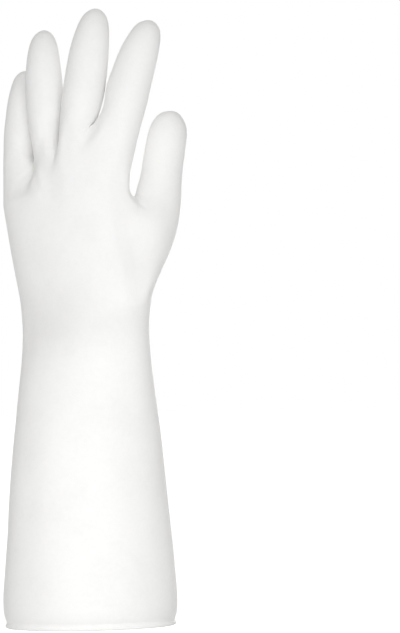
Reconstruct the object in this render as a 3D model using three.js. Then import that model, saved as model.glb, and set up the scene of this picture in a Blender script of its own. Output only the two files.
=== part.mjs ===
// A long household cleaning glove of dipped rubber, for the left hand, in the shape that it has when worn.
// It is one seamless film: a flared sleeve, the hand, four fingers and a thumb. It is open at the
// sleeve's mouth, where the film's edge is rolled outwards into a narrow rim.
// Frame: millimetres, +Z up to the fingertips, the back of the hand facing -Y, the thumb on the +X side.
// The origin is the centre of the sleeve's mouth.
import * as THREE from "three";

// Lengths along the glove
const SLEEVE_LENGTH = 182; // mouth to the narrowest part of the wrist
const HAND_LENGTH = 198; // narrowest part of the wrist to the tip of the middle finger

// Girths, outside
const SLEEVE_WIDTH = 107; // at the widest, just above the rim
const SLEEVE_DEPTH = 88;
const WRIST_WIDTH = 81;
const WRIST_DEPTH = 56;
const PALM_WIDTH = 88;
const PALM_DEPTH = 39;
const THUMB_WIDTH = 25;

// The film and its rolled rim
const WALL = 1.0;
const RIM_HEIGHT = 2.8;
const RIM_BULGE = 0.8; // how far the rolled rim stands out from the film

// How the hand is set on the forearm
const HAND_TURN = 25; // degrees, the index finger's side towards -Y
const PALM_SHIFT = -8.6; // the palm's middle, sideways from the sleeve's axis
const PALM_SET_BACK = 3; // and towards the palm
const KNUCKLE_SLANT = 0.28; // rise of the knuckle line for each millimetre towards the index finger

// Sections of the sleeve. up is a share of SLEEVE_LENGTH, flare the share of the way from the wrist's
// girth to the sleeve's widest, shift a share of PALM_SHIFT and turn a share of HAND_TURN.
const SLEEVE_SECTIONS = [
  { up: 0.04, flare: 0.96, shift: 0, turn: 0 },
  { up: 0.11, flare: 1.0, shift: 0, turn: 0 },
  { up: 0.28, flare: 0.82, shift: -0.02, turn: 0 },
  { up: 0.46, flare: 0.605, shift: -0.03, turn: 0.03 },
  { up: 0.64, flare: 0.38, shift: -0.06, turn: 0.14 },
  { up: 0.8, flare: 0.14, shift: -0.06, turn: 0.42 },
  { up: 0.92, flare: 0.02, shift: -0.09, turn: 0.74 },
  { up: 1.0, flare: 0.0, shift: -0.09, turn: 0.9 },
];
const MOUTH_FLARE = 0.88; // the film draws in a little to the rim
const RIM_ROWS = [0, 0.5, 1, 1.5]; // rows of corners at the mouth, as shares of RIM_HEIGHT

// Sections of the hand. up is a share of HAND_LENGTH; grow and thin run from the wrist's width and
// depth (0) to the palm's (1); shift and back are shares of PALM_SHIFT and PALM_SET_BACK; turn and
// slant are shares of HAND_TURN (whole where it isn't given) and KNUCKLE_SLANT; aside is how far the
// palm's columns stand aside for the thumb; square is the power of the section's curve, 2 for an
// ellipse and more for a flatter back; groove is how far the back dips between the knuckles.
const HAND_SECTIONS = [
  { up: 0.058, grow: 0.33, thin: 0.13, shift: -0.09, turn: 0.96 },
  { up: 0.116, grow: 1.1, thin: 0.3, shift: -0.17, back: 0.1, slant: 0.05, aside: 0.1, square: 2.05 },
  { up: 0.258, grow: 0.85, thin: 0.66, shift: 0.47, back: 0.6, slant: 0.2, aside: 0.22, square: 2.15 },
  { up: 0.404, grow: 0.6, thin: 0.9, shift: 1, back: 1, slant: 0.5, aside: 0.16, square: 2.2, groove: 0.01 },
  { up: 0.46, grow: 0.8, thin: 1, shift: 1, back: 1, slant: 0.8, aside: 0.06, square: 2.2, groove: 0.06 },
];
const THUMB_FROM = 1; // the hand sections between which the thumb leaves the hand
const THUMB_TO = 3;

// The fingers, from the index to the little one. width and depth are the finger's own, and taper is
// the share by which it grows thinner to its tip. The path runs from the root to the tip: across is a
// share of PALM_WIDTH towards the thumb, palmar of PALM_DEPTH towards the palm, and up of HAND_LENGTH
// from the wrist.
const FINGERS = [
  {
    width: 28,
    depth: 26.5,
    taper: 0.07,
    path: [
      { across: 0.378, palmar: 0.02, up: 0.61 },
      { across: 0.463, palmar: 0.1, up: 0.745 },
      { across: 0.541, palmar: 0.21, up: 0.865 },
      { across: 0.602, palmar: 0.36, up: 0.957 },
    ],
  },
  {
    width: 26.8,
    depth: 25.5,
    taper: 0.02,
    path: [
      { across: 0.089, palmar: -0.1, up: 0.6 },
      { across: 0.156, palmar: -0.05, up: 0.755 },
      { across: 0.192, palmar: 0.03, up: 0.885 },
      { across: 0.223, palmar: 0.15, up: 1.0 },
    ],
  },
  {
    width: 24,
    depth: 24,
    taper: 0,
    path: [
      { across: -0.144, palmar: -0.015, up: 0.55 },
      { across: -0.156, palmar: -0.02, up: 0.7 },
      { across: -0.178, palmar: 0.035, up: 0.83 },
      { across: -0.205, palmar: 0.195, up: 0.942 },
    ],
  },
  {
    width: 21.8,
    depth: 21.5,
    taper: 0,
    path: [
      { across: -0.383, palmar: 0.055, up: 0.512 },
      { across: -0.392, palmar: 0.15, up: 0.617 },
      { across: -0.389, palmar: 0.24, up: 0.722 },
      { across: -0.388, palmar: 0.345, up: 0.82 },
    ],
  },
];
// Rings along a finger: along is a share of its length, width of its width and depth, and webbed of
// its width towards a neighbouring finger.
const FINGER_RINGS = [
  { along: 0, width: 1, webbed: 1 },
  { along: 0.15, width: 1, webbed: 0.84 },
  { along: 0.32, width: 1, webbed: 0.95 },
  { along: 0.52, width: 0.965, webbed: 0.965 },
  { along: 0.69, width: 0.895, webbed: 0.895 },
  { along: 0.84, width: 0.765, webbed: 0.765 },
  { along: 0.94, width: 0.55, webbed: 0.55 },
  { along: 0.985, width: 0.28, webbed: 0.28 },
];
// The webs, from the one beside the index finger: the crest between the two fingers, and where the web
// runs out on the back of the hand and on the palm. Their points are given as in FINGERS.
const WEBS = [
  {
    crest: { across: 0.235, palmar: -0.147, up: 0.639 },
    back: { across: 0.212, palmar: -0.395, up: 0.571 },
    palm: { across: 0.24, palmar: 0.25, up: 0.582 },
  },
  {
    crest: { across: -0.031, palmar: -0.06, up: 0.588 },
    back: { across: -0.014, palmar: -0.421, up: 0.515 },
    palm: { across: -0.03, palmar: 0.26, up: 0.54 },
  },
  {
    crest: { across: -0.27, palmar: 0.08, up: 0.542 },
    back: { across: -0.218, palmar: -0.24, up: 0.488 },
    palm: { across: -0.27, palmar: 0.34, up: 0.49 },
  },
];

// Rings of the thumb from its root to its tip: the ring's middle as in FINGERS, its lean from upright in
// degrees, and its width and depth as shares of THUMB_WIDTH.
const THUMB_RINGS = [
  { across: 0.556, palmar: 0.43, up: 0.327, lean: 59, width: 1.64, depth: 1.42 },
  { across: 0.577, palmar: 0.58, up: 0.399, lean: 31, width: 1.22, depth: 1.14 },
  { across: 0.584, palmar: 0.67, up: 0.467, lean: 11, width: 1.04, depth: 1.02 },
  { across: 0.601, palmar: 0.72, up: 0.543, lean: 3, width: 1.0, depth: 0.97 },
  { across: 0.623, palmar: 0.74, up: 0.601, lean: 3, width: 0.98, depth: 0.95 },
  { across: 0.635, palmar: 0.74, up: 0.637, lean: 2, width: 0.86, depth: 0.82 },
  { across: 0.643, palmar: 0.73, up: 0.664, lean: 1, width: 0.6, depth: 0.56 },
  { across: 0.646, palmar: 0.73, up: 0.677, lean: 0, width: 0.3, depth: 0.28 },
];
const THUMB_TIP = { across: 0.646, palmar: 0.73, up: 0.68 };

// The mesh: corners of a ring round a finger, and columns of faces round the sleeve, two to each
// finger on the back and on the palm and two at each edge of the hand.
const RING_PLACES = ["out", "back out", "back", "back in", "in", "palm in", "palm", "palm out"];
const RING = RING_PLACES.length;
const COLUMNS = 4 * FINGERS.length + 4;
const FIT_STEPS = 14; // rounds of moving the cage until the smooth surface meets its sections

const UP = new THREE.Vector3(0, 0, 1);
const mix = (a, b, t) => a + (b - a) * t;

// The way across the hand, towards the thumb, once the hand is turned by a share of HAND_TURN.
function acrossAt(turn) {
  const angle = THREE.MathUtils.degToRad(HAND_TURN * turn);
  return new THREE.Vector3(Math.cos(angle), -Math.sin(angle), 0);
}

// A point of the hand from its shares across, towards the palm and up.
function handPoint({ across, palmar, up }) {
  const side = acrossAt(1);
  const toPalm = new THREE.Vector3().crossVectors(UP, side);
  return new THREE.Vector3(PALM_SHIFT, PALM_SET_BACK, SLEEVE_LENGTH + up * HAND_LENGTH)
    .addScaledVector(side, across * PALM_WIDTH)
    .addScaledVector(toPalm, palmar * PALM_DEPTH);
}

// The cage: corners that the smooth surface will pass through, and four-sided faces that turn outwards.
const corners = [];
const faces = [];

function addCorner(point) {
  corners.push(point);
  return corners.length - 1;
}

// Joins two loops of as many corners with a band of faces; skip names the faces to leave out.
function addBand(lower, upper, skip = []) {
  lower.forEach((corner, i) => {
    if (skip.includes(i)) return;
    const next = (i + 1) % lower.length;
    faces.push([corner, upper[i], upper[next], lower[next]]);
  });
}

// Where the columns of the back stand across a section, from the thumb's side: shares of the half
// width. They spread from an ellipse's even angles to the fingers' own places as the section nears the
// knuckles.
function columnShares(towardsFingers) {
  const roots = FINGERS.map(({ path }) => path[0].across * 2);
  const atFingers = roots.flatMap((root, i) => (i ? [(root + roots[i - 1]) / 2, root] : [root]));
  const step = (2 * Math.PI) / COLUMNS;
  const even = Array.from({ length: atFingers.length + 2 }, (_, i) => Math.cos((i + 1) * step));
  return even.map((share, i) => mix(share, atFingers[i - 1] ?? share, towardsFingers));
}

// A closed section of COLUMNS corners: from the thumb's side over the back, the little finger's side
// and the palm. It is an ellipse unless its shape says otherwise.
function sectionLoop(middle, width, depth, turn, shape = {}) {
  const { slant = 0, square = 2, groove = 0, aside = 0, towardsFingers = 0 } = shape;
  const side = acrossAt(turn);
  const toPalm = new THREE.Vector3().crossVectors(UP, side);
  const shares = columnShares(towardsFingers);
  const place = (share, palmar) => {
    const rise = slant * share * (width / 2);
    const point = middle.clone().addScaledVector(side, (share * width) / 2);
    return point.addScaledVector(toPalm, (palmar * depth) / 2).addScaledVector(UP, rise);
  };
  const height = (share) => Math.max(0, 1 - Math.abs(share) ** square) ** (1 / square);
  const dip = (i) => (i % 2 === 0 && i > 0 && i < shares.length - 1 ? 1 - groove : 1);
  const back = shares.map((share, i) => place(share, -height(share) * dip(i)));
  const palmShares = shares.map((share) => (share + 1) * (1 - aside / 2) - 1);
  const palm = palmShares.map((share) => place(share, height(share))).reverse();
  return [place(1, 0), ...back, place(-1, 0), ...palm].map(addCorner);
}

function sleeveLoop(z, { flare, shift, turn }) {
  const middle = new THREE.Vector3(PALM_SHIFT * shift, 0, z);
  const width = mix(WRIST_WIDTH, SLEEVE_WIDTH, flare);
  const depth = mix(WRIST_DEPTH, SLEEVE_DEPTH, flare);
  return sectionLoop(middle, width, depth, turn);
}

function handLoop({ up, grow, thin, shift, back = 0, turn = 1, slant = 0, ...shape }) {
  const z = SLEEVE_LENGTH + up * HAND_LENGTH;
  const middle = new THREE.Vector3(PALM_SHIFT * shift, PALM_SET_BACK * back, z);
  const width = mix(WRIST_WIDTH, PALM_WIDTH, grow);
  const depth = mix(WRIST_DEPTH, PALM_DEPTH, thin);
  const towardsFingers = up / HAND_SECTIONS.at(-1).up;
  return sectionLoop(middle, width, depth, turn, { ...shape, slant: KNUCKLE_SLANT * slant, towardsFingers });
}

// A ring of corners round an axis, each at its place in RING_PLACES: out is the way to the thumb's
// side, and the ring goes from there over the back. girth holds the half widths outwards and inwards
// and the half depth.
function ringPoints(middle, axis, out, girth) {
  const side = out.clone().addScaledVector(axis, -out.dot(axis)).normalize();
  const back = new THREE.Vector3().crossVectors(side, axis);
  return RING_PLACES.map((_, i) => {
    const angle = (i * 2 * Math.PI) / RING;
    const reach = Math.cos(angle) > 0 ? girth.out : girth.in;
    return middle
      .clone()
      .addScaledVector(side, Math.cos(angle) * reach)
      .addScaledVector(back, Math.sin(angle) * girth.back);
  });
}

// Closes a ring over a tip with four faces round one corner.
function addTip(ring, point) {
  const tip = addCorner(point);
  for (let i = 0; i < RING; i += 2) faces.push([tip, ring[(i + 2) % RING], ring[i + 1], ring[i]]);
}

function addRings(root, rings, tip) {
  let below = root;
  for (const ring of rings) {
    const loop = ring.map(addCorner);
    addBand(below, loop);
    below = loop;
  }
  addTip(below, tip);
}

// The rings of a finger from its root up. The outermost fingers have a neighbour on one side only.
function fingerRings(finger, i, curve) {
  return FINGER_RINGS.map(({ along, width, webbed }) => {
    const thin = (1 - finger.taper * along) / 2;
    const girth = {
      out: finger.width * thin * (i === 0 ? width : webbed),
      in: finger.width * thin * (i === FINGERS.length - 1 ? width : webbed),
      back: finger.depth * thin * width,
    };
    return ringPoints(curve.getPointAt(along), curve.getTangentAt(along), acrossAt(1), girth);
  });
}

// The row of corners at the roots of the fingers, with a web between each two of them, and the fingers
// on it.
function addFingers(below) {
  const curves = FINGERS.map(({ path }) => new THREE.CatmullRomCurve3(path.map(handPoint)));
  const rings = FINGERS.map((finger, i) => fingerRings(finger, i, curves[i]));
  const webs = WEBS.map(({ crest, back, palm }) => [palm, crest, back].map(handPoint).map(addCorner));
  const last = FINGERS.length - 1;
  const rootCorner = (i, place) => addCorner(rings[i][0][RING_PLACES.indexOf(place)]);
  const thumbSide = ["palm out", "out", "back out"].map((place) => rootCorner(0, place));
  const littleSide = ["palm in", "in", "back in"].map((place) => rootCorner(last, place));
  const roots = FINGERS.map((_, i) => {
    const [palmOut, out, backOut] = i === 0 ? thumbSide : webs[i - 1];
    const [palmIn, inside, backIn] = i === last ? littleSide : webs[i];
    const [back, palm] = ["back", "palm"].map((place) => rootCorner(i, place));
    return [out, backOut, back, backIn, inside, palmIn, palm, palmOut];
  });
  const back = roots.flatMap(([, backOut, middle]) => [backOut, middle]);
  const palm = roots.flatMap((root) => [root.at(-1), root.at(-2)]);
  addBand(below, [roots[0][0], ...back, ...littleSide.reverse(), ...palm.reverse()]);
  roots.forEach((root, i) => addRings(root, rings[i].slice(1), curves[i].getPointAt(1)));
}

function addThumb(hole) {
  const rings = THUMB_RINGS.map(({ lean, width, depth, ...middle }) => {
    const angle = THREE.MathUtils.degToRad(lean);
    const axis = new THREE.Vector3(Math.sin(angle), 0, Math.cos(angle));
    const half = THUMB_WIDTH / 2;
    const girth = { out: half * width, in: half * width, back: half * depth };
    return ringPoints(handPoint(middle), axis, acrossAt(0), girth);
  });
  addRings(hole, rings, handPoint(THUMB_TIP));
}

function buildCage() {
  const mouth = { flare: MOUTH_FLARE, shift: 0, turn: 0 };
  const rimRows = RIM_ROWS.map((share) => sleeveLoop(share * RIM_HEIGHT, mouth));
  const sleeveRows = SLEEVE_SECTIONS.map((section) => sleeveLoop(section.up * SLEEVE_LENGTH, section));
  const rows = [...rimRows, ...sleeveRows, ...HAND_SECTIONS.map(handLoop)];
  const wrist = rimRows.length + sleeveRows.length;
  const thumbFrom = wrist + THUMB_FROM;
  const thumbTo = wrist + THUMB_TO;
  rows.slice(1).forEach((row, i) => {
    const beside = i >= thumbFrom && i < thumbTo;
    addBand(rows[i], row, beside ? [0, COLUMNS - 1] : []);
  });
  const [low, middle, high] = rows.slice(thumbFrom, thumbTo + 1);
  const last = COLUMNS - 1;
  addThumb([low[0], low[1], middle[1], high[1], high[0], high[last], middle[last], low[last]]);
  addFingers(rows.at(-1));
}

// What a mesh of four-sided faces needs for smoothing: for each corner its faces, the corners across
// its edges and faces, and the two along the open edge if it lies on one; and for each edge its faces.
function surroundings(points, quads) {
  const edges = new Map();
  const around = points.map(() => ({ faces: [], across: [], beside: [], open: [] }));
  quads.forEach((quad, f) => {
    quad.forEach((corner, i) => {
      const next = quad[(i + 1) % 4];
      const key = edgeKey(corner, next);
      if (!edges.has(key)) edges.set(key, { ends: [corner, next], faces: [] });
      edges.get(key).faces.push(f);
      around[corner].faces.push(f);
      around[corner].across.push(quad[(i + 2) % 4]);
    });
  });
  for (const { ends, faces: touching } of edges.values()) {
    ends.forEach((corner, i) => {
      around[corner].beside.push(ends[1 - i]);
      if (touching.length === 1) around[corner].open.push(ends[1 - i]);
    });
  }
  return { edges, around };
}

function edgeKey(a, b) {
  return a < b ? `${a} ${b}` : `${b} ${a}`;
}

function sum(points, indices) {
  return indices.reduce((total, i) => total.add(points[i]), new THREE.Vector3());
}

// Where each corner comes to lie once the mesh is smoothed for ever, by the Catmull-Clark rule.
function smoothPlaces(points, { around }) {
  return points.map((point, i) => {
    const { beside, across, open } = around[i];
    const n = beside.length;
    if (open.length) return sum(points, open).addScaledVector(point, 4).divideScalar(6);
    return sum(points, across)
      .addScaledVector(sum(points, beside), 4)
      .addScaledVector(point, n * n)
      .divideScalar(n * (n + 5));
  });
}

// Moves the corners out until the smooth surface passes through the places that they had.
function fitCage(points, quads) {
  const near = surroundings(points, quads);
  let moved = points.map((point) => point.clone());
  for (let step = 0; step < FIT_STEPS; step += 1) {
    const smooth = smoothPlaces(moved, near);
    moved = moved.map((point, i) => point.clone().add(points[i]).sub(smooth[i]));
  }
  return moved;
}

// One round of Catmull-Clark smoothing: each face becomes four.
function divide(points, quads) {
  const { edges, around } = surroundings(points, quads);
  const facePoints = quads.map((quad) => sum(points, quad).divideScalar(4));
  const made = points.map((point, i) => {
    const { beside, faces: touching, open } = around[i];
    const n = beside.length;
    if (open.length) return sum(points, open).addScaledVector(point, 6).divideScalar(8);
    return sum(facePoints, touching)
      .divideScalar(n)
      .addScaledVector(sum(points, beside), 1 / n)
      .addScaledVector(point, n - 2)
      .divideScalar(n);
  });
  const middleOf = new Map();
  for (const [key, { ends, faces: touching }] of edges) {
    middleOf.set(key, made.length);
    const both = sum(points, ends);
    const open = touching.length === 1;
    made.push(open ? both.divideScalar(2) : both.add(sum(facePoints, touching)).divideScalar(4));
  }
  const quarters = [];
  quads.forEach((quad, f) => {
    const middle = made.length;
    made.push(facePoints[f]);
    const onEdge = quad.map((corner, i) => middleOf.get(edgeKey(corner, quad[(i + 1) % 4])));
    quad.forEach((corner, i) => quarters.push([corner, onEdge[i], middle, onEdge[(i + 3) % 4]]));
  });
  return [made, quarters];
}

// Leaves out corners that no face uses.
function withoutLoose(points, quads) {
  const used = [...new Set(quads.flat())].sort((a, b) => a - b);
  const place = new Map(used.map((corner, i) => [corner, i]));
  const kept = used.map((corner) => points[corner]);
  return [kept, quads.map((quad) => quad.map((corner) => place.get(corner)))];
}

function outwardNormals(points, quads) {
  const normals = points.map(() => new THREE.Vector3());
  for (const [a, b, c, d] of quads) {
    const one = points[c].clone().sub(points[a]);
    const other = points[d].clone().sub(points[b]);
    const normal = one.cross(other);
    [a, b, c, d].forEach((corner) => normals[corner].add(normal));
  }
  return normals.map((normal) => normal.normalize());
}

// How far the rolled rim stands out at a height above the mouth: a half-round roll.
function rimBulge(z) {
  const share = (z - RIM_HEIGHT / 2) / (RIM_HEIGHT / 2);
  return RIM_BULGE * Math.sqrt(Math.max(0, 1 - share * share));
}

// The film as one closed solid: the smooth outer face, an inner face one wall further in, and the edge
// at the mouth.
function filmGeometry() {
  buildCage();
  const [aimed, cageQuads] = withoutLoose(corners, faces);
  const [points, quads] = divide(fitCage(aimed, cageQuads), cageQuads);
  const near = surroundings(points, quads);
  const surface = smoothPlaces(points, near);
  const normals = outwardNormals(surface, quads);
  near.around.forEach(({ open }, i) => {
    if (open.length) normals[i].setZ(0).normalize();
  });
  const outer = surface.map((point, i) => point.clone().addScaledVector(normals[i], rimBulge(point.z)));
  const inner = surface.map((point, i) => point.clone().addScaledVector(normals[i], -WALL));
  const count = surface.length;
  const index = [];
  for (const [a, b, c, d] of quads) {
    const shortest = surface[a].distanceTo(surface[c]) <= surface[b].distanceTo(surface[d]);
    const halves = shortest ? [[a, b, c], [a, c, d]] : [[b, c, d], [b, d, a]];
    for (const [p, q, r] of halves) index.push(p, q, r, count + r, count + q, count + p);
  }
  for (const { ends: [a, b], faces: touching } of near.edges.values()) {
    if (touching.length === 1) index.push(b, a, count + a, b, count + a, count + b);
  }
  const geometry = new THREE.BufferGeometry();
  const positions = [...outer, ...inner].flatMap((point) => point.toArray());
  geometry.setAttribute("position", new THREE.Float32BufferAttribute(positions, 3));
  geometry.setIndex(index);
  geometry.computeVertexNormals();
  return geometry;
}

const rubber = new THREE.MeshStandardMaterial({ color: 0xf2f2ef, roughness: 0.55, metalness: 0 });
const film = new THREE.Mesh(filmGeometry(), rubber);
film.name = "glove_film";

const glove = new THREE.Group();
glove.add(film);

export default glove;
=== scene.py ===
"""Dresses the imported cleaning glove.

A fine rubber film with creases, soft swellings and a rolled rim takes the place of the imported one, and stands
in a plain studio.
"""

import math

import bmesh
import bpy
import numpy as np
from bpy.props import FloatProperty, FloatVectorProperty, IntProperty, PointerProperty
from mathutils import Matrix, Vector, noise


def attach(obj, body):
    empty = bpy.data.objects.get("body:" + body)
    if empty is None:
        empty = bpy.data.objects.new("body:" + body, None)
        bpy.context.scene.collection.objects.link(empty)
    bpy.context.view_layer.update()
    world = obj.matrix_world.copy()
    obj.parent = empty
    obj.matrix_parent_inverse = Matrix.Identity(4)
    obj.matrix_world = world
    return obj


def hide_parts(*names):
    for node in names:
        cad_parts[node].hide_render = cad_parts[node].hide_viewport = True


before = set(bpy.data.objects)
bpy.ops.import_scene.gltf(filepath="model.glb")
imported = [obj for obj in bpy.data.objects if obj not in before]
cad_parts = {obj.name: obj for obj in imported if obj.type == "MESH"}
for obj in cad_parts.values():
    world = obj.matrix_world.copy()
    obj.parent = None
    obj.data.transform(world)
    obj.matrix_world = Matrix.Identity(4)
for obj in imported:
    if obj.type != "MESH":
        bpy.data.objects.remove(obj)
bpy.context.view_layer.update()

bl_info = {
    "name": "Rubber Cleaning Glove",
    "version": (1, 0, 0),
    "blender": (4, 5, 0),
    "location": "View3D > Sidebar > Glove",
    "description": "Builds a worn rubber cleaning glove over its packed frame",
    "category": "Add Mesh",
}

MM = 0.001
FILM_NODE = "glove_film"
MERGE = 0.002 * MM  # corners closer than this are one

# Fingers, in millimetres: the axis from root to tip, its reach to the side, and where along it the joints
# bend, as shares of its length.
FINGERS = {
    "index": {"root": (21.9, -10.4, 303), "tip": (45.3, -6.7, 372), "reach": 16, "joints": (0.3, 0.68)},
    "middle": {"root": (-3.2, -3.8, 301), "tip": (11.7, 0.0, 380), "reach": 15, "joints": (0.32, 0.68)},
    "ring": {"root": (-20.3, 7.8, 291), "tip": (-21.7, 17.5, 369), "reach": 14, "joints": (0.34, 0.7)},
    "little": {"root": (-38.2, 19.2, 283), "tip": (-33.9, 29.6, 344), "reach": 13, "joints": (0.33, 0.68)},
    "thumb": {"root": (44.0, 2.0, 256), "tip": (55.0, 4.8, 317), "reach": 16, "joints": (0.52,)},
}

# Creases of the film: a line of points (x, z) on the back of the hand or on its palm, with the crease's depth
# and half width, all in millimetres.
CREASES = [
    {"side": "back", "line": [(30, 266), (35, 260.6), (40.5, 256)], "depth": 0.9, "width": 1.1},
    {"side": "back", "line": [(-41, 276), (-36, 277.6), (-30, 281.5)], "depth": 0.5, "width": 1.2},
    {"side": "back", "line": [(-31.5, 283), (-28.5, 276.5), (-27, 270)], "depth": 0.4, "width": 1.6},
    {"side": "back", "line": [(12, 310), (6.5, 303), (0.5, 295)], "depth": 0.9, "width": 2.6},
    {"side": "palm", "line": [(34, 262), (14, 256), (2, 238), (4, 214)], "depth": 0.8, "width": 2.2},
    {"side": "palm", "line": [(-42, 262), (-20, 262), (0, 270), (12, 284)], "depth": 0.6, "width": 1.9},
    {"side": "palm", "line": [(24, 274), (4, 262), (-16, 246), (-26, 232)], "depth": 0.6, "width": 2.0},
    {"side": "palm", "line": [(-34, 206), (0, 201), (30, 205)], "depth": 0.5, "width": 2.4},
    {"side": "palm", "line": [(-34, 196), (-4, 189), (28, 193)], "depth": 0.6, "width": 3.0},
]

# Broad soft hollows and swellings, where the film lies loose or is pushed out: middles (x, z) on the back or
# on the palm, half sizes across and up, and height, which is below 0 for a hollow, all in millimetres.
SWELLS = [
    {"side": "back", "at": (-37, 269), "size": (13, 9), "height": -0.9},
    {"side": "back", "at": (37, 254), "size": (9, 10), "height": -0.4},
    {"side": "back", "at": (28, 228), "size": (7, 16), "height": 0.8},
    {"side": "back", "at": (-26, 188), "size": (22, 18), "height": -1.4},
    {"side": "palm", "at": (26, 236), "size": (15, 20), "height": 1.6},
    {"side": "palm", "at": (-26, 232), "size": (14, 22), "height": 1.2},
    {"side": "palm", "at": (-6, 250), "size": (14, 14), "height": -1.4},
    {"side": "palm", "at": (-20, 274), "size": (24, 6), "height": 0.7},
]

# Where the film is greyer: painted shade on the back of the wrist and below the little finger, and wear on the
# palm: middles and half sizes as in SWELLS, and how much, from 0 to 1.
SOILED_AND_SHADED_PATCHES = [
    # painted shade: the next two darken the hollow across the back of the wrist
    {"side": "back", "at": (-22, 186), "size": (30, 20), "share": 0.5},
    {"side": "back", "at": (6, 184), "size": (34, 15), "share": 0.3},
    # painted shade in the hollow below the little finger's root
    {"side": "back", "at": (-36, 266), "size": (14, 9), "share": 0.1},
    # wear: the palm greyed from handling
    {"side": "palm", "at": (0, 236), "size": (30, 34), "share": 0.35},
]
TIP_GREYING = 0.34  # how much greyer a fingertip is
TIP_GREYING_LENGTH = 16 * MM  # and about how far that reaches

# The wandering of a loose film: the size of its lumps along X, Y and Z in millimetres, where their noise
# starts, and their share.
LOOSE_FILM = {
    "small": {"size": (11, 11, 15), "seed": 3.7, "share": 0.35},
    "broad": {"size": (26, 26, 40), "seed": 8.1, "share": 1.0},
    "dents": {"size": (19, 19, 80), "seed": 21.9, "share": 1.6},
}
OFF_RIM = (4 * MM, 16 * MM)  # heights between which the film starts to wander
SLEEVE_END = (150 * MM, 215 * MM)  # heights between which the sleeve's dents end

SIDE_EDGE = (0.15, 0.6)  # how squarely the film faces a side where the side's relief starts and is full
CREASE_LIP = 0.35  # height of the lip beside a crease, as a share of the crease's depth
CREASE_ENDS = (0.04, 0.96)  # a crease runs out towards its ends, and is cut at these shares of its length
FLEX_SPACING = 2.6 * MM  # between the wrinkles at a finger's joint
FLEX_LINES = (-1, 0, 1)
FLEX_WIDTH = 0.75 * MM  # half width of a wrinkle
FLEX_WANDER = 0.9 * MM  # how far a wrinkle strays from its line
FLEX_WANDER_SIZE = 9 * MM
FLEX_ON_BACK = 0.22  # a wrinkle's depth on the back, as a share of its depth on the palm's side
KNUCKLE_HEIGHT = 0.25 * MM  # how far the film stands out over a joint
KNUCKLE_LENGTH = 7 * MM  # half length of that swelling
EVENING_ROUNDS = 3
EVENING_STEPS = (0.5, -0.52)  # each round smooths the mesh, and then swells it back

# Patterns in the rubber: lumps to the metre, detail and roughness of the noise.
RUBBER_NOISE = {
    "blotches": (26, 4, 0.6),
    "specks": (420, 3, 0.5),
    "grain": (1300, 3, 0.6),
    "pebbles": (330, 2, 0.5),
}
BLOTCH_WEAR = 0.22  # how handled the film looks in its blotches
FLECK_SHADE = 0.985  # brightness of the darkest specks
WORN_ROUGHNESS = 0.22  # what the full mask of wear and painted shade adds to the roughness
SPECK_ROUGHNESS = 0.16  # and what the specks add

FLOOR_RADIUS = 12
FLOOR_CORNERS = 96
FLOOR_GLOW = 0.62  # keeps the floor nearly as white as the surround

# Soft lights: place, aim, and width and height, all in metres, and power in watts.
SOFTBOXES = {
    "key_softbox": {"place": (0.02, -0.62, 0.09), "aim": (0, 0, 0.09), "size": (0.5, 0.5), "power": 2.12},
    "top_softbox": {"place": (0.05, -0.45, 0.95), "aim": (0, 0, 0.33), "size": (0.6, 0.6), "power": 0.8},
    "back_softbox": {"place": (0.3, 1.9, 0.5), "aim": (0, 0, 0.2), "size": (0.9, 0.9), "power": 16},
}


def length(default, name, description, precision=4):
    return FloatProperty(
        name=name, description=description, default=default, min=0, unit="LENGTH", precision=precision
    )


def colour(default, name, description):
    return FloatVectorProperty(
        name=name, description=description, subtype="COLOR", size=3, default=default, min=0, max=1
    )


class GloveSettings(bpy.types.PropertyGroup):
    """Sizes and colours of the rubber film."""

    wall: length(1.0 * MM, "Wall", "Thickness of the film")
    rim_height: length(2.8 * MM, "Rim height", "Height of the rolled rim")
    rim_bulge: length(0.8 * MM, "Rim bulge", "How far the rolled rim stands out from the film")
    unevenness: length(0.3 * MM, "Unevenness", "How far the film wanders from its smooth form", 5)
    flex_depth: length(0.28 * MM, "Flex wrinkles", "Depth of the wrinkles at the finger joints", 5)
    rounds: IntProperty(name="Rounds", description="Rounds of making the mesh finer", default=2, min=0, max=2)
    clean: colour((0.9, 0.898, 0.89), "Clean film", "Colour of the film where it is clean")
    # the greyest film: worn, and painted shade at the back of the wrist and below the little finger
    worn_and_shaded: colour((0.775, 0.772, 0.758), "Handled film", "Colour of the film where it is handled most")
    roughness: FloatProperty(
        name="Roughness",
        description="Roughness of the clean film",
        default=0.5,
        min=0,
        max=1,
        subtype="FACTOR",
    )


class StudioSettings(bpy.types.PropertyGroup):
    """The floor, the lights and the camera."""

    distance: length(2.5, "Distance", "From the camera to the glove")
    view_height: length(0.3899, "View height", "What the picture spans at the glove")
    aim: FloatVectorProperty(
        name="Aim",
        description="Middle of the picture, across and up",
        size=2,
        default=(0.0712, 0.1893),
        unit="LENGTH",
    )
    roll: FloatProperty(
        name="Roll", description="Turn of the picture", default=math.radians(1.2), subtype="ANGLE"
    )
    floor_drop: length(0.15, "Floor drop", "From the glove's hem down to the floor")
    floor: colour((0.92, 0.92, 0.92), "Floor", "Colour of the floor")
    surround: colour((0.572, 0.57, 0.562), "Surround", "Light that comes from all round")


def unit(vectors):
    return vectors / np.maximum(np.linalg.norm(vectors, axis=1, keepdims=True), 1e-12)


def dots(a, b):
    return np.sum(a * b, axis=1, keepdims=True)


def fade(values, start, end):
    """0 at start and 1 at end, with a smooth step between them."""
    share = np.clip((values - start) / (end - start), 0, 1)
    return share * share * (3 - 2 * share)


def normals_of(points, tris):
    """Normals of the points, with those along the open hem kept level."""
    a, b, c = (points[tris[:, i]] for i in range(3))
    faces = np.cross(b - a, c - a)
    normals = np.zeros_like(points)
    for i in range(3):
        np.add.at(normals, tris[:, i], faces)
    normals[points[:, 2] < MERGE, 2] = 0
    return unit(normals)


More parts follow.
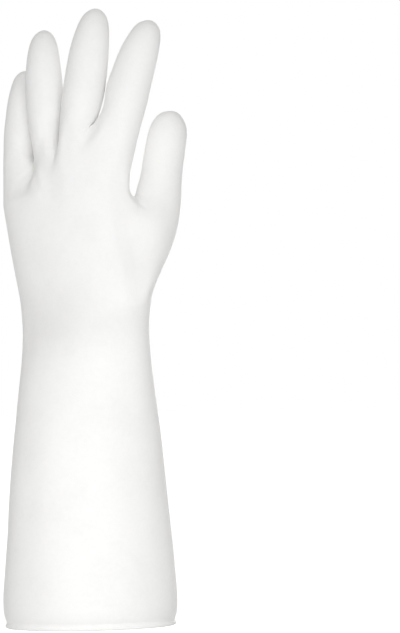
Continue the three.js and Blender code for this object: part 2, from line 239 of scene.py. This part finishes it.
def edges_of(tris):
    """The mesh's edges, and for each triangle the edges from its first, second and third corner."""
    sides = np.sort(np.concatenate([tris[:, [0, 1]], tris[:, [1, 2]], tris[:, [2, 0]]]), axis=1)
    edges, place = np.unique(sides, axis=0, return_inverse=True)
    return edges, place.reshape(3, -1).T


def packed_skin():
    """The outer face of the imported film, as points and triangles."""
    solid = bmesh.new()
    solid.from_mesh(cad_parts[FILM_NODE].data)
    bmesh.ops.remove_doubles(solid, verts=solid.verts, dist=MERGE)
    hem = [face for face in solid.faces if all(vert.co.z < MERGE for vert in face.verts)]
    bmesh.ops.delete(solid, geom=hem, context="FACES")
    bmesh.ops.triangulate(solid, faces=solid.faces)
    waiting = [max(solid.verts, key=lambda vert: vert.co.x)]
    skin = set(waiting)
    while waiting:
        corner = waiting.pop()
        near = {edge.other_vert(corner) for edge in corner.link_edges} - skin
        skin |= near
        waiting.extend(near)
    kept = [vert for vert in solid.verts if vert in skin]
    place = {vert: i for i, vert in enumerate(kept)}
    points = np.array([vert.co for vert in kept])
    tris = np.array([[place[vert] for vert in face.verts] for face in solid.faces if face.verts[0] in skin])
    solid.free()
    return points, tris


def rim_section(points, settings):
    """The half width and half depth of the film where the rim sits on it, measured just above the rim."""
    above = points[np.abs(points[:, 2] - 1.25 * settings.rim_height) < 0.15 * settings.rim_height]
    return np.max(np.abs(above[:, :2]), axis=0)


def level_normals(points, half):
    """Outward normals of the upright oval film at the rim."""
    flat = np.zeros_like(points)
    flat[:, :2] = points[:, :2] / half**2
    return unit(flat)


def without_rim(points, settings):
    """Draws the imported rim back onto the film, where the fine one takes its place."""
    half = rim_section(points, settings)
    share = points[:, 2] / (settings.rim_height / 2) - 1
    bulge = settings.rim_bulge * np.sqrt(np.clip(1 - share**2, 0, 1))
    return points - level_normals(points, half) * bulge[:, None]


def finer(points, tris):
    """Makes four triangles of each one; the new points stand out so that the surface keeps its curve."""
    normals = normals_of(points, tris)
    edges, on_side = edges_of(tris)
    start, end = edges.T
    chord = points[end] - points[start]
    lift = normals[end] * dots(chord, normals[end]) - normals[start] * dots(chord, normals[start])
    middles = (points[start] + points[end]) / 2 + lift / 8
    first, second, third = (on_side + len(points)).T
    a, b, c = tris.T
    parts = [(a, first, third), (first, b, second), (third, second, c), (first, second, third)]
    return np.concatenate([points, middles]), np.concatenate([np.stack(part, axis=1) for part in parts])


def evened(points, tris, rounds, above):
    """Smooths out the unevenness of the mesh without shrinking it, above a height."""
    edges, _ = edges_of(tris)
    start, end = edges.T
    count = np.bincount(edges.ravel(), minlength=len(points))[:, None]
    free = fade(points[:, 2], above, 2 * above)[:, None]
    for step in EVENING_STEPS * rounds:
        total = np.zeros_like(points)
        np.add.at(total, start, points[end])
        np.add.at(total, end, points[start])
        points = points + step * free * (total / count - points)
    return points


def noise_at(points, size, seed):
    """Smooth noise between -1 and 1 with lumps of a size, which may differ along X, Y and Z."""
    places = points / np.array(size) + seed
    return np.array([noise.noise(Vector(place)) for place in places])


def off_line(points, line):
    """Distance of each point from a line, and how far along it the nearest place lies, from 0 to 1."""
    flat = points[:, [0, 2]]
    nearest = np.full(len(points), np.inf)
    along = np.zeros(len(points))
    stops = np.array(line) * MM
    for i, (start, end) in enumerate(zip(stops, stops[1:])):
        run = end - start
        share = np.clip((flat - start) @ run / (run @ run), 0, 1)
        away = np.linalg.norm(flat - start - share[:, None] * run, axis=1)
        closer = away < nearest
        nearest = np.where(closer, away, nearest)
        along = np.where(closer, (i + share) / (len(stops) - 1), along)
    return nearest, along


def facing(normals, side):
    """How far each point faces the back of the hand or its palm."""
    out = -normals[:, 1] if side == "back" else normals[:, 1]
    return fade(out, *SIDE_EDGE)


def crease_relief(points, normals):
    relief = np.zeros(len(points))
    for crease in CREASES:
        away, along = off_line(points, crease["line"])
        width = crease["width"] * MM
        dip = np.exp(-((away / width) ** 2)) - CREASE_LIP * np.exp(-(((away - 2 * width) / width) ** 2))
        ends = np.sin(np.pi * np.clip(along, *CREASE_ENDS)) ** 0.6
        relief -= crease["depth"] * MM * dip * ends * facing(normals, crease["side"])
    return relief


def swell_relief(points, normals):
    relief = np.zeros(len(points))
    for swell in SWELLS:
        off = (points[:, [0, 2]] / MM - swell["at"]) / swell["size"]
        relief += swell["height"] * MM * np.exp(-np.sum(off**2, axis=1)) * facing(normals, swell["side"])
    return relief


def finger_axis(finger):
    root, tip = np.array(finger["root"]) * MM, np.array(finger["tip"]) * MM
    return root, tip - root


def along_finger(points, finger):
    """How far up a finger's axis each point lies, as a share of its length, and how far from the axis."""
    root, run = finger_axis(finger)
    share = (points - root) @ run / (run @ run)
    away = np.linalg.norm(points - root - share[:, None] * run, axis=1)
    return share, away


def flex_relief(points, normals, depth):
    """The fine wrinkles round the finger joints: deep on the palm's side, faint on the swollen back."""
    relief = np.zeros(len(points))
    for number, finger in enumerate(FINGERS.values()):
        share, away = along_finger(points, finger)
        size = np.linalg.norm(finger_axis(finger)[1])
        near = 1 - fade(away, 0.9 * finger["reach"] * MM, 1.15 * finger["reach"] * MM)
        wander = noise_at(points, (FLEX_WANDER_SIZE,) * 3, 11.3 * (number + 1)) * FLEX_WANDER
        palmward = FLEX_ON_BACK + (1 - FLEX_ON_BACK) * fade(normals[:, 1], -0.3, 0.7)
        for joint in finger["joints"]:
            for line in FLEX_LINES:
                off = (share - joint) * size - line * FLEX_SPACING + wander
                strength = 1 - 0.4 * abs(line)
                relief -= depth * strength * near * palmward * np.exp(-((off / FLEX_WIDTH) ** 2))
            off = (share - joint) * size
            relief += KNUCKLE_HEIGHT * near * np.exp(-((off / KNUCKLE_LENGTH) ** 2)) * (1 - palmward)
    return relief


def loose_relief(points, unevenness):
    """The wandering of a loose film: lumps all over, and longer soft dents down the sleeve."""
    small, broad, dents = (
        lumps["share"] * noise_at(points, np.array(lumps["size"]) * MM, lumps["seed"])
        for lumps in LOOSE_FILM.values()
    )
    on_sleeve = 1 - fade(points[:, 2], *SLEEVE_END)
    return unevenness * fade(points[:, 2], *OFF_RIM) * (small + broad + dents * on_sleeve)


def rim_profile(points, base, half, settings):
    """Bends the lowest stretch of the film into a round roll, from its root above to its underside."""
    radius = settings.rim_height / 2
    inset = radius - settings.rim_bulge
    root = math.acos(inset / radius)
    low = base[:, 2] < settings.rim_height
    share = base[low, 2] / settings.rim_height
    angle = -math.pi / 2 + share * (root + math.pi / 2)
    out = radius * np.cos(angle) - inset
    rolled = points.copy()
    rolled[low] = base[low] + level_normals(base[low], half) * out[:, None]
    rolled[low, 2] = radius + radius * np.sin(angle)
    return rolled


def wear_and_shade_share(points, normals):
    """How grey each point is, from 0 to 1: most at the fingertips, in the palm's wear, and in the painted shade
    at the back of the wrist and below the little finger.
    """
    wear_and_shade = np.zeros(len(points))
    for finger in FINGERS.values():
        tip = np.array(finger["tip"]) * MM
        away = np.linalg.norm(points - tip, axis=1)
        near = 1 - fade(away, 0.4 * TIP_GREYING_LENGTH, 1.6 * TIP_GREYING_LENGTH)
        wear_and_shade = np.maximum(wear_and_shade, TIP_GREYING * near)
    # palm wear, and painted shade at the back of the wrist and below the little finger
    for patch in SOILED_AND_SHADED_PATCHES:
        off = (points[:, [0, 2]] / MM - patch["at"]) / patch["size"]
        near = np.exp(-np.sum(off**2, axis=1)) * facing(normals, patch["side"])
        wear_and_shade = np.maximum(wear_and_shade, patch["share"] * near)
    return wear_and_shade


def film_mesh(settings):
    """The closed film: its fine outer face, the inner face a wall further in, and the rolled rim between."""
    points, tris = packed_skin()
    half = rim_section(points, settings)
    points = without_rim(points, settings)
    for _ in range(settings.rounds):
        points, tris = finer(points, tris)
    base = evened(points, tris, EVENING_ROUNDS, 2 * settings.rim_height)
    normals = normals_of(base, tris)
    relief = crease_relief(base, normals) + swell_relief(base, normals)
    relief += flex_relief(base, normals, settings.flex_depth) + loose_relief(base, settings.unevenness)
    outer = base + normals * relief[:, None]
    inner = base + normals * (relief - settings.wall)[:, None]
    outer = rim_profile(outer, base, half, settings)
    edges, on_side = edges_of(tris)
    open_edge = np.bincount(on_side.ravel(), minlength=len(edges)) == 1
    hem = open_edge[on_side]
    count = len(base)
    strips = []
    for side in range(3):
        a, b = tris[hem[:, side]][:, [side, (side + 1) % 3]].T
        strips += [np.stack((b, a, count + a), axis=1), np.stack((b, count + a, count + b), axis=1)]
    faces = np.concatenate([tris, tris[:, ::-1] + count, *strips])
    mesh = bpy.data.meshes.new("glove_rubber")
    mesh.from_pydata(np.concatenate([outer, inner]).tolist(), [], faces.tolist())
    mesh.shade_smooth()
    # stores the grey mask: wear, and painted shade at the back of the wrist and below the little finger
    wear_and_shade = mesh.attributes.new("worn_and_shaded", "FLOAT", "POINT")
    wear_and_shade.data.foreach_set("value", np.tile(wear_and_shade_share(base, normals), 2))
    return mesh


def add_node(tree, kind, place, **values):
    node = tree.nodes.new(kind)
    node.location = place
    for name, value in values.items():
        setattr(node, name, value)
    return node


def noise_node(tree, place, scale, detail, roughness):
    """Noise in the object's own space; scale counts lumps to the metre."""
    node = add_node(tree, "ShaderNodeTexNoise", place)
    node.inputs["Scale"].default_value = scale
    node.inputs["Detail"].default_value = detail
    node.inputs["Roughness"].default_value = roughness
    return node


def ramp_node(tree, place, low, high, start=0.0, end=1.0):
    node = add_node(tree, "ShaderNodeMapRange", place, interpolation_type="SMOOTHSTEP")
    for name, value in (("From Min", low), ("From Max", high), ("To Min", start), ("To Max", end)):
        node.inputs[name].default_value = value
    return node


def mix_node(tree, place, blend="MIX"):
    return add_node(tree, "ShaderNodeMix", place, data_type="RGBA", blend_type=blend)


def rubber_material(settings):
    """Dipped rubber: matte and a little translucent, mottled, and duller and greyer where it is worn and where
    shade is painted on the back of the wrist and below the little finger.
    """
    material = bpy.data.materials.new("dipped_rubber")
    material.use_nodes = True
    tree = material.node_tree
    link = tree.links.new
    shader = tree.nodes["Principled BSDF"]
    coords = add_node(tree, "ShaderNodeTexCoord", (-1500, 0))
    blotches = noise_node(tree, (-1250, 300), *RUBBER_NOISE["blotches"])
    specks = noise_node(tree, (-1250, 80), *RUBBER_NOISE["specks"])
    grain = noise_node(tree, (-1250, -160), *RUBBER_NOISE["grain"])
    pebbles = noise_node(tree, (-1250, -400), *RUBBER_NOISE["pebbles"])
    for node in (blotches, specks, grain, pebbles):
        link(coords.outputs["Object"], node.inputs["Vector"])

    worn_and_shaded = add_node(tree, "ShaderNodeAttribute", (-1250, 560), attribute_name="worn_and_shaded")
    patches = ramp_node(tree, (-1000, 300), 0.42, 0.72)
    link(blotches.outputs["Fac"], patches.inputs["Value"])
    wear_and_shade = add_node(tree, "ShaderNodeMath", (-780, 420), operation="MULTIPLY_ADD", use_clamp=True)
    wear_and_shade.inputs[1].default_value = BLOTCH_WEAR
    link(patches.outputs["Result"], wear_and_shade.inputs[0])
    link(worn_and_shaded.outputs["Fac"], wear_and_shade.inputs[2])
    # greyer where worn, and painted shade at the back of the wrist and below the little finger
    tint = mix_node(tree, (-560, 360))
    tint.inputs["A"].default_value = (*settings.clean, 1)
    tint.inputs["B"].default_value = (*settings.worn_and_shaded, 1)
    link(wear_and_shade.outputs["Value"], tint.inputs["Factor"])
    fleck = ramp_node(tree, (-780, 80), 0.35, 0.75, 1.0, FLECK_SHADE)
    link(specks.outputs["Fac"], fleck.inputs["Value"])
    flecked = mix_node(tree, (-340, 260), "MULTIPLY")
    flecked.inputs["Factor"].default_value = 1
    link(tint.outputs["Result"], flecked.inputs["A"])
    link(fleck.outputs["Result"], flecked.inputs["B"])
    link(flecked.outputs["Result"], shader.inputs["Base Color"])

    dull = ramp_node(tree, (-560, -20), 0, 1, settings.roughness, settings.roughness + WORN_ROUGHNESS)
    link(wear_and_shade.outputs["Value"], dull.inputs["Value"])
    uneven = add_node(tree, "ShaderNodeMath", (-340, -20), operation="MULTIPLY_ADD")
    uneven.inputs[1].default_value = SPECK_ROUGHNESS
    link(specks.outputs["Fac"], uneven.inputs[0])
    link(dull.outputs["Result"], uneven.inputs[2])
    link(uneven.outputs["Value"], shader.inputs["Roughness"])

    coarse = add_node(tree, "ShaderNodeBump", (-560, -400))
    coarse.inputs["Strength"].default_value = 0.25
    coarse.inputs["Distance"].default_value = 0.12 * MM
    link(pebbles.outputs["Fac"], coarse.inputs["Height"])
    fine = add_node(tree, "ShaderNodeBump", (-340, -300))
    fine.inputs["Strength"].default_value = 0.3
    fine.inputs["Distance"].default_value = 0.04 * MM
    link(grain.outputs["Fac"], fine.inputs["Height"])
    link(coarse.outputs["Normal"], fine.inputs["Normal"])
    link(fine.outputs["Normal"], shader.inputs["Normal"])

    shader.inputs["Subsurface Weight"].default_value = 0.15
    shader.inputs["Subsurface Radius"].default_value = (1.0, 0.95, 0.8)
    shader.inputs["Subsurface Scale"].default_value = 2 * MM
    shader.inputs["Specular IOR Level"].default_value = 0.35
    shader.inputs["Sheen Weight"].default_value = 0.05
    return material


def floor_material(colour):
    material = bpy.data.materials.new("pale_floor")
    material.use_nodes = True
    shader = material.node_tree.nodes["Principled BSDF"]
    shader.inputs["Base Color"].default_value = (*colour, 1)
    shader.inputs["Roughness"].default_value = 0.9
    shader.inputs["Specular IOR Level"].default_value = 0.1
    shader.inputs["Emission Color"].default_value = (1, 1, 1, 1)
    shader.inputs["Emission Strength"].default_value = FLOOR_GLOW
    return material


def add_object(name, data):
    made = bpy.data.objects.new(name, data)
    bpy.context.scene.collection.objects.link(made)
    return made


def soft_light(name, place, aim, size, power):
    light = bpy.data.lights.new(name, "AREA")
    light.shape = "RECTANGLE"
    light.size, light.size_y = size
    light.energy = power
    lamp = add_object(name, light)
    lamp.location = place
    lamp.rotation_euler = (Vector(aim) - Vector(place)).to_track_quat("-Z", "Y").to_euler()
    lamp.visible_camera = False


def white_surround(level):
    """Light from all round at one level, seen as plain white behind the glove."""
    world = bpy.data.worlds.new("studio_surround")
    world.use_nodes = True
    tree = world.node_tree
    tree.nodes.clear()
    seen = add_node(tree, "ShaderNodeLightPath", (-400, 200))
    lit = add_node(tree, "ShaderNodeBackground", (-400, 0))
    lit.inputs["Color"].default_value = (*level, 1)
    white = add_node(tree, "ShaderNodeBackground", (-400, -140))
    white.inputs["Color"].default_value = (1, 1, 1, 1)
    mixed = add_node(tree, "ShaderNodeMixShader", (-160, 60))
    out = add_node(tree, "ShaderNodeOutputWorld", (40, 60))
    tree.links.new(seen.outputs["Is Camera Ray"], mixed.inputs["Fac"])
    tree.links.new(lit.outputs["Background"], mixed.inputs[1])
    tree.links.new(white.outputs["Background"], mixed.inputs[2])
    tree.links.new(mixed.outputs["Shader"], out.inputs["Surface"])
    bpy.context.scene.world = world


def set_camera(studio):
    """The camera of the photograph: level, far off, and rolled a little."""
    data = bpy.data.cameras.new("photo_camera")
    data.lens = data.sensor_width * studio.distance / studio.view_height
    camera = add_object("photo_camera", data)
    across, up = studio.aim
    level = Matrix.Rotation(math.pi / 2, 4, "X")
    rolled = Matrix.Rotation(studio.roll, 4, "Y")
    camera.matrix_world = Matrix.Translation((across, -studio.distance, up)) @ rolled @ level
    bpy.context.scene.camera = camera


class GLOVE_OT_film(bpy.types.Operator):
    """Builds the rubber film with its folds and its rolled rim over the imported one"""

    bl_idname = "glove.film"
    bl_label = "Rubber film"

    def execute(self, context):
        settings = context.scene.glove
        film = add_object("glove_rubber", film_mesh(settings))
        film.data.materials.append(rubber_material(settings))
        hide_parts(FILM_NODE)
        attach(film, "root")
        return {"FINISHED"}


class GLOVE_OT_studio(bpy.types.Operator):
    """Sets the floor, the soft lights and the camera"""

    bl_idname = "glove.studio"
    bl_label = "Studio"

    def execute(self, context):
        studio = context.scene.studio
        disc = bmesh.new()
        bmesh.ops.create_circle(disc, cap_ends=True, radius=FLOOR_RADIUS, segments=FLOOR_CORNERS)
        mesh = bpy.data.meshes.new("studio_floor")
        disc.to_mesh(mesh)
        disc.free()
        floor = add_object("studio_floor", mesh)
        floor.location.z = -studio.floor_drop
        mesh.materials.append(floor_material(studio.floor))
        floor.visible_diffuse = False  # it throws no light up at the glove
        white_surround(studio.surround)
        for name, box in SOFTBOXES.items():
            soft_light(name, **box)
        set_camera(studio)
        context.scene.view_settings.view_transform = "Standard"
        return {"FINISHED"}


class GLOVE_PT_panel(bpy.types.Panel):
    """Lists the glove's sizes and colours, and what builds it"""

    bl_label = "Rubber glove"
    bl_space_type = "VIEW_3D"
    bl_region_type = "UI"
    bl_category = "Glove"

    def draw(self, context):
        parts = ((context.scene.glove, GLOVE_OT_film), (context.scene.studio, GLOVE_OT_studio))
        for settings, builder in parts:
            box = self.layout.box()
            for name in settings.bl_rna.properties.keys():
                if name not in ("rna_type", "name"):
                    box.prop(settings, name)
            box.operator(builder.bl_idname)


CLASSES = (GloveSettings, StudioSettings, GLOVE_OT_film, GLOVE_OT_studio, GLOVE_PT_panel)


def register():
    for made in CLASSES:
        bpy.utils.register_class(made)
    bpy.types.Scene.glove = PointerProperty(type=GloveSettings)
    bpy.types.Scene.studio = PointerProperty(type=StudioSettings)


def unregister():
    del bpy.types.Scene.studio
    del bpy.types.Scene.glove
    for made in reversed(CLASSES):
        bpy.utils.unregister_class(made)


def main():
    register()
    bpy.ops.glove.film()
    bpy.ops.glove.studio()


if __name__ == "__main__":
    main()
